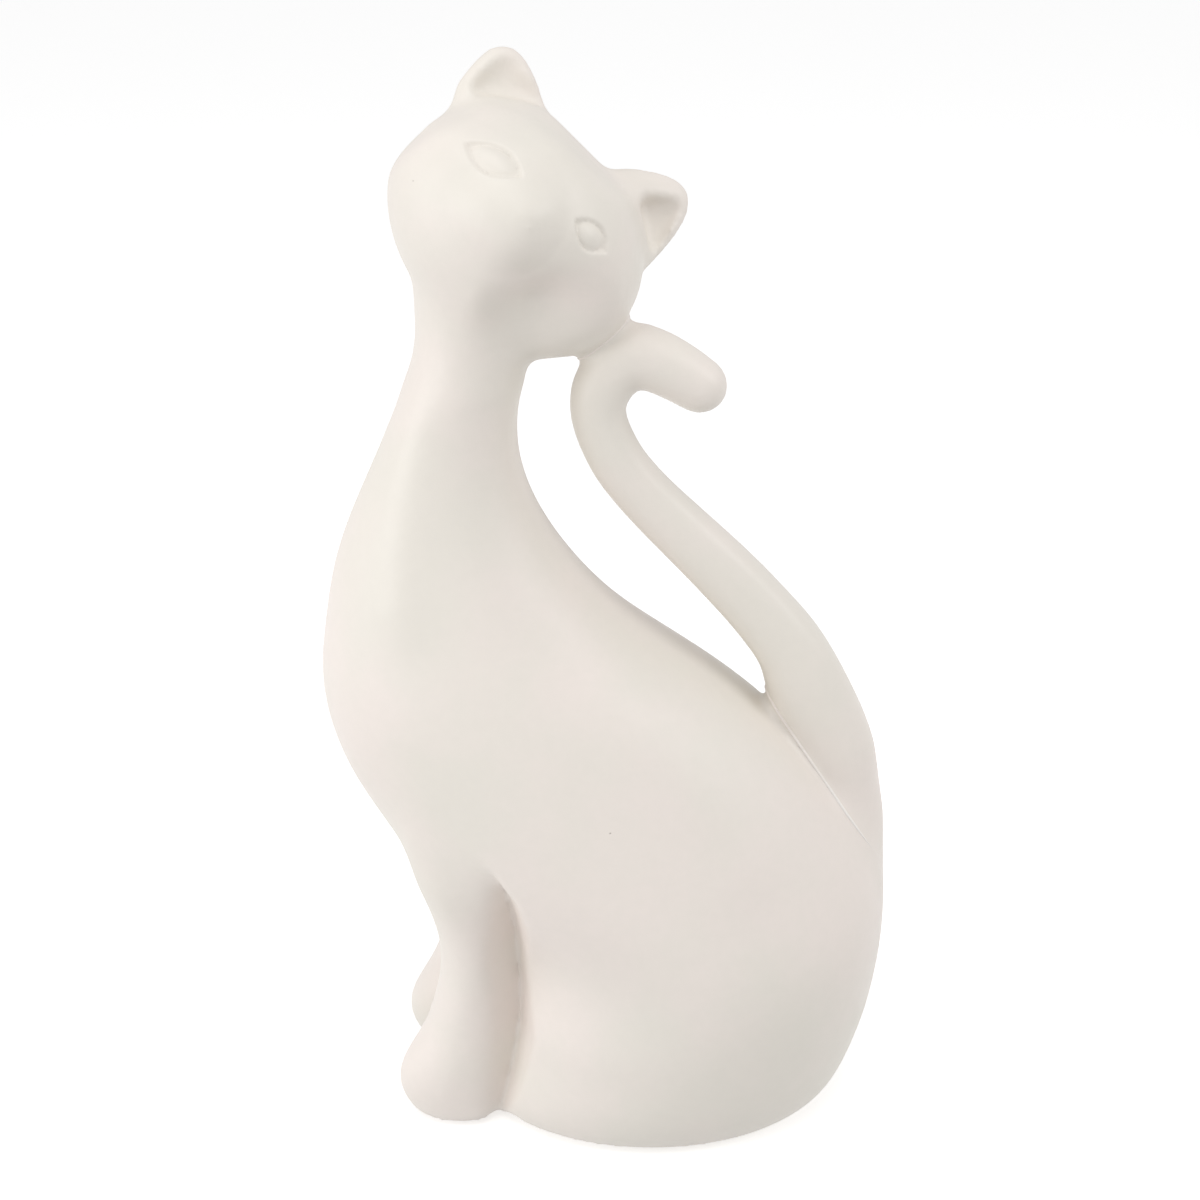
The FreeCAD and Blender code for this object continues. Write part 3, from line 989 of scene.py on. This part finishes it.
# ---------------------------------------------------------------- the whole figure
@dataclass
class Figure:
    """The clay figure: one blank, smoothed and modelled, then parted at the neck, the cheek and the rump.

    Attributes:
        face: Where the head's features lie.
        tail: The tail.
        ears: The ear over the chest and the one over the tail.
        groove: Level, place along X and depth along Y of the groove behind a front leg, from its top down.
        groove_slopes: How steeply it rises to the haunch and to the leg.
        groove_round: How round its bottom is.
        chest_edge: The soft edge down the side of the neck and chest.
        haunch_edge: The soft edge over the haunch.
        flows: Where parts flow into each other, and how many rounds of smoothing that takes.
        rump_fill: Where the rump is filled out behind the tail's root.
        later_flows: As flows, once the rump is filled out.
        leg_top: Where a front leg is lost in the chest.
        crotch: Where the cut at the rump starts, from the slip's box there: past its low X and its high Z.
        lost: Where that cut ends: past the box's high X and its low Z.
        grain: Edge of the blank's small faces.
    """

    face: Face = field(default_factory=Face)
    tail: Tail = field(default_factory=Tail)
    ears: tuple[Ear, ...] = (
        Ear(-1, ((22.8, 27.2), (7.2, 23.2), (25.2, 11.5)), (-1.0, 0.5, 0.4)),
        Ear(1, ((24.4, 26.2), (16.0, 20.2), (26.6, 11.8)), (-0.6, 0.6, 0.6)),
    )
    groove: tuple[tuple[float, float, float], ...] = (
        (80.0, -33.0, -33.0),
        (72.0, -26.9, -29.8),
        (67.0, -24.4, -27.6),
        (62.0, -22.6, -23.5),
        (54.0, -21.6, -18.5),
        (46.0, -20.8, -16.0),
        (35.0, -20.1, -15.5),
        (25.0, -20.4, -16.0),
        (15.0, -22.0, -17.5),
        (0.0, -25.5, -19.0),
    )
    groove_slopes: tuple[float, float] = (3.2, 1.15)
    groove_round: float = 0.35
    chest_edge: tuple[tuple[float, float, float], ...] = (
        (-38.2, -9.9, 173.1),
        (-40.5, -11.1, 162.8),
        (-42.7, -13.1, 152.6),
        (-44.6, -17.6, 136.6),
        (-44.6, -20.5, 126.0),
        (-42.5, -24.0, 113.0),
    )
    haunch_edge: tuple[tuple[float, float, float], ...] = (
        (-10.5, -22.1, 116.7),
        (8.2, -28.5, 95.6),
        (18.9, -30.7, 82.6),
        (25.4, -32.3, 72.7),
        (33.8, -34.5, 58.0),
    )
    flows: tuple[tuple[int, tuple[Spot, ...]], ...] = (
        (160, (Spot(-29, -13, 185, 7, 17), Spot(-38, -6, 186, 4, 11), Spot(-20, -11, 182, 4, 11),
               Spot(-29, 13, 185, 6, 15), Spot(-12, 2, 178, 3, 9))),
        (300, Spot(-38, -18, 80, 12, 22).pair()),
        (150, (Spot(60, 0, 66, 8, 18), Spot(61, 0, 54, 8, 18))),
        (90, (Spot(34, 0, 99, 4, 10),)),
        (240, (Spot(62, 0, 66, 9, 23),)),
    )
    rump_fill: tuple[Spot, float] = (Spot(62.3, 0, 63, 4, 23), 0.9)
    later_flows: tuple[tuple[int, tuple[Spot, ...]], ...] = (
        (140, (Spot(-42, -3, 172, 5, 15),)),
        (70, (Spot(-6, 0, 177.5, 2, 6.5),)),
        (50, Spot(-23.5, -20, 3.5, 2, 7).pair()),
        (30, (Spot(5.5, 0, 184.5, 1.5, 5),)),
    )
    leg_top: Spot = Spot(-31.5, -27, 73, 5, 15)
    crotch: tuple[float, float] = (0.3, 2.9)
    lost: tuple[float, float] = (-6.7, 14.5)
    grain: float = 0.83 * MM

    def blank(self) -> bpy.types.Object:
        """Join the castings, the skull, the ears and the tail in one solid skin."""
        low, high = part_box("body_casting")
        head = copy_of("head_casting", "head_blank")
        ears = []
        for ear in self.ears:
            solid, tool = ear.solid(self.face), ear.gouge(self.face)
            for target in (solid, head):
                modify(target, "BOOLEAN", operation="DIFFERENCE", object=tool, solver="EXACT")
            bpy.data.objects.remove(tool)
            ears.append(solid)
        put_down()
        bpy.ops.mesh.primitive_cylinder_add(vertices=48, radius=8 * MM, depth=3 * MM,
                                            location=((low.x + high.x) / 2 + 11.4 * MM, 0, low.z + 7.2 * MM))
        stopper = settle(named("vent_stopper"))
        clay = join("clay", [copy_of("body_casting", "body_blank"), head, *ears, self.face.skull(),
                             self.tail.solid(), copy_of("slip_at_neck", "neck_blank"), stopper])
        modify(clay, "REMESH", mode="VOXEL", voxel_size=self.grain, adaptivity=0.0)
        shells = loose_shells(clay)
        shells.sort(key=lambda shell: np.ptp(points_of(shell), axis=0).prod(), reverse=True)
        for inner in shells[1:]:
            bpy.data.objects.remove(inner)
        log.info("blank: %d shells, %d points", len(shells), len(shells[0].data.vertices))
        pick_up(shells[0])
        return named("clay")

    def model(self, clay: bpy.types.Object) -> None:
        """Model the blank as soft clay: flow parts together, cut the grooves and raise the soft edges.

        Args:
            clay: The joined blank.
        """
        relax(clay, np.ones(len(clay.data.vertices)), 4)
        self.flow_together(clay)
        co = self.cut_grooves(points_of(clay))
        set_points(clay, co)
        set_points(clay, co + normals_of(clay) * self.soft_edges(co)[:, None])
        modify(clay, "REMESH", mode="VOXEL", voxel_size=self.grain, adaptivity=0.0)
        relax(clay, np.ones(len(clay.data.vertices)), 5)
        co = points_of(clay)
        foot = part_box("body_casting")[0].z
        co[co[:, 2] < foot + 0.35 * MM, 2] = foot
        set_points(clay, co)
        self.round_legs(clay)

    def flow_together(self, clay: bpy.types.Object) -> None:
        """Smooth the blank where the real surfaces flow into each other."""
        for rounds, spots in self.flows:
            relax(clay, patch(points_of(clay), spots), rounds)
        spot, swell = self.rump_fill
        co = points_of(clay)
        co[:, 0] += spot.weight(co) * swell * MM
        set_points(clay, co)
        for rounds, spots in self.later_flows:
            relax(clay, patch(points_of(clay), spots), rounds)
        temple = [self.face.in_frame(spot) for spot in self.face.temple]
        relax(clay, patch(points_of(clay), temple), 60)
        co = points_of(clay)
        face = self.face.to_face(co) / MM
        ears = ramp(self.face.skull_depth(co), -0.5 * MM, 1.0 * MM) * (face[:, 2] > 8) * (face[:, 1] > -14)
        relax(clay, ears, 8)
        relax(clay, ears * (face[:, 0] < 0), 16)

    def behind_groove(self, co: np.ndarray) -> np.ndarray:
        """How far points lie behind the groove's bottom, along X in millimetres, below 0 on the leg."""
        level, ahead, _ = (np.array(column)[::-1] for column in zip(*self.groove))
        return co[:, 0] / MM - np.interp(co[:, 2] / MM, level, ahead)

    def round_legs(self, clay: bpy.types.Object) -> None:
        """Round each front leg towards its groove, and let its top flow into the chest."""
        co = points_of(clay)
        z, gap = co[:, 2] / MM, self.behind_groove(co)
        outer = (np.abs(co[:, 1]) > 8 * MM) * ramp(z, 2.0, 8.0)
        flank = ramp(gap, -0.3, -2.5) * ramp(gap, -15.0, -9.0) * outer * ramp(z, 80.0, 70.0)
        relax(clay, flank, 170)
        relax(clay, patch(co, self.leg_top.pair()) * ramp(gap, 0.3, -1.5), 220)

    def cut_grooves(self, co: np.ndarray) -> np.ndarray:
        """Cut the deep groove between each front leg and its haunch, steep on the haunch's side.

        Args:
            co: The blank's points.

        Returns:
            The points with the grooves cut.
        """
        level, _, bottom = (np.array(column)[::-1] for column in zip(*self.groove))
        _, y, z = (co / MM).T
        side = np.sign(y)
        gap = self.behind_groove(co)
        slope = np.where(gap > 0, *self.groove_slopes)
        valley = np.interp(z, level, bottom) - np.sqrt(gap**2 + self.groove_round**2) * slope
        reach = (z < level[-1]) & (gap > -7) & (gap < 5) & (np.abs(y) > 8)
        cut = np.where(reach, np.minimum(np.abs(y), -valley), np.abs(y))
        result = co.copy()
        result[:, 1] = cut * side * MM
        return result

    def soft_edges(self, co: np.ndarray) -> np.ndarray:
        """How far the soft edges down the chest and over the haunches stand out, on both sides."""
        both = np.stack([co[:, 0], -np.abs(co[:, 1]), co[:, 2]], 1)
        chest, place = along(both, np.array(self.chest_edge) * MM)
        haunch, run = along(both, np.array(self.haunch_edge) * MM)
        fade = ramp(place, 0.0, 0.15) * ramp(place, 1.0, 0.75)
        fade_haunch = ramp(run, 0.0, 0.4) * ramp(run, 1.0, 0.8)
        on_chest = np.exp(-(chest / (6 * MM))**2) * fade * 1.1
        on_haunch = np.exp(-(haunch / (9 * MM))**2) * fade_haunch * 0.8
        return (on_chest + on_haunch) * MM

    def part(self, clay: bpy.types.Object) -> dict[str, bpy.types.Object]:
        """Cut the clay at its three joints.

        Args:
            clay: The modelled figure.

        Returns:
            The body, the head and the tail by name.
        """
        seam_low, seam_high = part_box("slip_at_neck")
        seam = (seam_low + seam_high) / 2
        tail_low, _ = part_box("tail_casting")
        behind_neck = (seam_high.x + tail_low.x) / 2
        part_at(clay, seam, Vector((0, 0, 1)),
                lambda mid: (np.abs(mid[:, 2] - seam.z) < 3 * MM) & (mid[:, 0] < behind_neck))
        cheek = math.radians(self.face.tilt + self.face.droop)
        down = Vector((math.cos(cheek), 0, -math.sin(cheek)))
        contact = self.face.middle() + down * (self.face.half_broad - 0.4 * MM)
        part_at(clay, contact, down, lambda mid: np.linalg.norm(mid - np.array(contact), axis=1) < 9 * MM)
        low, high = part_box("slip_at_rump")
        crotch = Vector((low.x + self.crotch[0] * MM, 0, high.z + self.crotch[1] * MM))
        lost = Vector((high.x + self.lost[0] * MM, 0, low.z + self.lost[1] * MM))
        run = (lost - crotch).normalized()
        out = Vector((-run.z, 0, run.x))

        def at_rump(mid: np.ndarray) -> np.ndarray:
            """Says which faces are cut at the rump."""
            level = np.abs((mid - np.array(crotch)) @ np.array(out)) < 3 * MM
            inside = (mid[:, 2] > low.z - 15 * MM) & (mid[:, 2] < high.z + 12 * MM)
            return level & inside & (mid[:, 0] > max(low.x - 8 * MM, 20 * MM))

        part_at(clay, crotch, out, at_rump)
        shells = {shell: points_of(shell).mean(0) for shell in loose_shells(clay)}
        big = sorted(shells, key=lambda o: len(o.data.vertices), reverse=True)[:3]
        for scrap in [shell for shell in shells if shell not in big]:
            bpy.data.objects.remove(scrap)
        body, *upper = sorted(big, key=lambda o: shells[o][2])
        head, tail = sorted(upper, key=lambda o: shells[o][0])
        parts = {"body": body, "head": head, "tail": tail}
        for name, shell in parts.items():
            pick_up(shell)
            named(name)
        log.info("parted in %d", len(shells))
        return parts


@dataclass
class Slip:
    """The slip in the joints: a thin layer in the neck, and fine beads squeezed out round the tail.

    Attributes:
        bead: Half thickness of a bead.
        sunk: How far a bead's middle lies under the surface.
        thinnest: Thickness of the rump's bead at its lower end, as a share.
        swell: How much it gains upwards.
        swells_over: Where it does, as shares of the joint's height.
        cheek_share: Thickness of the cheek's bead, as a share.
    """

    bead: float = 0.40 * MM
    sunk: float = 0.14 * MM
    thinnest: float = 0.02
    swell: float = 0.9
    swells_over: tuple[float, float] = (0.02, 0.35)
    cheek_share: float = 0.7

    def neck_layer(self) -> bpy.types.Object:
        """The layer in the neck, drawn in until it is flush."""
        low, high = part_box("slip_at_neck")
        layer = copy_of("slip_at_neck", "slip_neck_layer")
        with editing(layer):
            bpy.ops.transform.resize(value=(0.92, 0.92, 1.0), center_override=(low + high) / 2)
        return layer

    def squeeze(self, name: str, path: np.ndarray, taper: np.ndarray) -> bpy.types.Object:
        """Lay one bead of slip right round a joint.

        Args:
            name: The bead's name.
            path: Its points in order.
            taper: Its thickness at those points, as a share.

        Returns:
            The bead.
        """
        put_down()
        curve = bpy.data.curves.new(name, "CURVE")
        curve.dimensions = "3D"
        curve.bevel_depth = self.bead
        curve.bevel_resolution = 3
        spline = curve.splines.new("POLY")
        spline.points.add(len(path) - 1)
        arm = path.mean(0) - path
        path = path + arm / np.linalg.norm(arm, axis=1)[:, None] * self.sunk
        for point, place, share in zip(spline.points, path, taper):
            point.co = (*place, 1.0)
            point.radius = share
        spline.use_cyclic_u = True
        obj = pick_up(put_in_scene(name, curve))
        bpy.ops.object.convert(target="MESH")
        with editing(obj):
            bpy.ops.mesh.remove_doubles(threshold=1e-5)
            bpy.ops.mesh.normals_make_consistent(inside=False)
        return named(name)


def open_loops(obj: bpy.types.Object) -> list[np.ndarray]:
    """The open edges of a piece, strung together.

    Args:
        obj: The piece, in object mode.

    Returns:
        The loops of points, the longest first.
    """
    edges = np.array([edge.key for edge in obj.data.edges])
    used: dict[tuple[int, int], int] = {}
    for polygon in obj.data.polygons:
        for key in polygon.edge_keys:
            used[key] = used.get(key, 0) + 1
    beside: dict[int, list[int]] = {}
    for a, b in edges:
        if used.get((a, b), used.get((b, a), 0)) == 1:
            beside.setdefault(int(a), []).append(int(b))
            beside.setdefault(int(b), []).append(int(a))
    co = points_of(obj)
    loops = []
    while beside:
        start = min(beside)
        loop, here = [start], start
        while ahead := [n for n in beside.pop(here) if n in beside]:
            here = ahead[0]
            loop.append(here)
        loops.append(co[loop])
    return sorted(loops, key=len, reverse=True)


def felt_pad(node: str) -> bpy.types.Object:
    """Punch one round felt pad, with a softly crushed edge, in the place of its node.

    Args:
        node: The pad's node.

    Returns:
        The pad.
    """
    low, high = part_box(node)
    put_down()
    bpy.ops.mesh.primitive_cylinder_add(vertices=64, radius=(high.x - low.x) / 2, depth=high.z - low.z,
                                        location=(low + high) / 2, end_fill_type="NGON")
    pad = settle(named(node.replace("felt_pad", "pad")))
    middle = np.array((low + high) / 2)
    select_faces(pad, lambda mid: np.abs(mid[:, 2] - middle[2]) > 0.4 * (high.z - low.z))
    bpy.ops.object.mode_set(mode="EDIT")
    bpy.ops.mesh.select_mode(type="FACE")
    for ring in (0.45, 1.2, 1.5):
        bpy.ops.mesh.inset(thickness=ring * MM)
    bpy.ops.object.mode_set(mode="OBJECT")
    modify(pad, "BEVEL", width=0.22 * MM, segments=3, limit_method="ANGLE", angle_limit=math.radians(50))
    co = points_of(pad)
    arm = co - middle
    turn = np.arctan2(arm[:, 1], arm[:, 0])
    rim = ramp(np.hypot(arm[:, 0], arm[:, 1]), 3.6 * MM, 4.8 * MM)
    wave = np.sin(turn * 9) * 0.5 + np.sin(turn * 23 + 1.3) * 0.3 + np.sin(turn * 31 + 0.4) * 0.2
    shrink, wander = 0.010, 0.008
    co[:, :2] -= arm[:, :2] * (shrink + wander * wave * rim)[:, None]
    set_points(pad, co)
    return shade_soft(pad, 50)


# ---------------------------------------------------------------- studio
@dataclass
class Studio:
    """A pale floor, soft light and the camera.

    Attributes:
        lens: The camera's lens, in millimetres.
        eye: Where the camera stands.
        aim: What it looks at.
    """

    lens: float = 64.5
    eye: tuple[float, float, float] = (-2.3 * MM, -436 * MM, 296 * MM)
    aim: tuple[float, float, float] = (-2.3 * MM, 0.0, 120.5 * MM)

    def set_up(self) -> None:
        """Lay the floor, hang the lights and place the camera."""
        put_down()
        bpy.ops.mesh.primitive_plane_add(size=8.0)
        floor = named("studio_floor")
        n = Nodes("pale_floor")
        n.shader.inputs["Base Color"].default_value = (0.95, 0.95, 0.95, 1)
        n.shader.inputs["Emission Color"].default_value = (1, 1, 1, 1)
        n.shader.inputs["Emission Strength"].default_value = 0.34
        n.shader.inputs["Roughness"].default_value = 0.9
        floor.data.materials.append(n.material)
        floor.visible_diffuse = False
        world = bpy.data.worlds.new("studio")
        bpy.context.scene.world = world
        world.use_nodes = True
        world.node_tree.nodes["Background"].inputs["Color"].default_value = (1, 1, 1, 1)
        world.node_tree.nodes["Background"].inputs["Strength"].default_value = 0.65
        self.lamp("key", (-0.85, -0.42, 0.30), 0.80, 4.5)
        self.lamp("sheen", (0.80, -0.30, 0.65), 0.40, 1.9)
        self.lamp("top", (-0.05, -0.25, 1.0), 0.6, 1.8)
        camera_data = bpy.data.cameras.new("camera")
        camera = put_in_scene("camera", camera_data)
        camera_data.lens = self.lens
        camera_data.sensor_width = 36.0
        camera_data.clip_start, camera_data.clip_end = 0.01, 50.0
        camera.location = self.eye
        camera.rotation_euler = (Vector(self.aim) - Vector(self.eye)).to_track_quat("-Z", "Y").to_euler()
        bpy.context.scene.camera = camera
        bpy.context.scene.view_settings.view_transform = "Standard"

    def lamp(self, name: str, place: tuple[float, float, float], size: float, power: float) -> None:
        """Hang one square soft light, aimed at the middle of the figure."""
        data = bpy.data.lights.new(name, "AREA")
        data.size = size
        data.energy = power
        lamp = put_in_scene(name, data)
        lamp.location = place
        lamp.rotation_euler = (Vector((0, 0, 0.12)) - Vector(place)).to_track_quat("-Z", "Y").to_euler()


def lay_slip(slip: Slip, tail_rims: Sequence[np.ndarray], finish: bpy.types.Material) -> None:
    """Put the slip in the three joints.

    Args:
        slip: The slip.
        tail_rims: The open rims of the tail, before it is closed.
        finish: The slip's material, lighter than the clay as a painted highlight on the beads.
    """
    dress(slip.neck_layer(), finish, "slip", "slip_at_neck")
    at_rump, at_cheek = sorted(tail_rims, key=lambda rim: rim[:, 2].mean())
    level = (at_rump[:, 2] - at_rump[:, 2].min()) / np.ptp(at_rump[:, 2])
    taper = ramp(level, *slip.swells_over) * slip.swell + slip.thinnest
    dress(slip.squeeze("slip_bead_rump", at_rump, taper), finish, "slip", "slip_at_rump")
    even = np.full(len(at_cheek), slip.cheek_share)
    dress(slip.squeeze("slip_bead_cheek", at_cheek, even), finish, "slip", "slip_at_cheek")


def main() -> None:
    """Model the figure, dress it and set up the studio."""
    figure = Figure()
    clay = figure.blank()
    figure.model(clay)
    parts = figure.part(clay)
    tail_rims = open_loops(parts["tail"])
    figure.face.features(parts["head"])
    ceramic = CeramicFinish().material()
    # The slip's finish is lighter than the clay's: a painted highlight on the slip beads.
    slip_with_painted_highlight = CeramicFinish("fired_slip_painted_highlight", Tone.SLIP, Tone.CLAY_WARM, rough=0.46, pinholes=0.0).material()
    felt = FeltFinish().material()
    for name, piece in parts.items():
        close_openings(piece)
        shade_soft(piece, 60)
        dress(piece, ceramic, "bisque", f"{name}_casting")
    lay_slip(Slip(), tail_rims, slip_with_painted_highlight)
    for node in sorted(frame["nodes"]):
        if node.startswith("felt"):
            dress(felt_pad(node), felt, "felt", node)
    Studio().set_up()


if __name__ == "__main__":
    main()
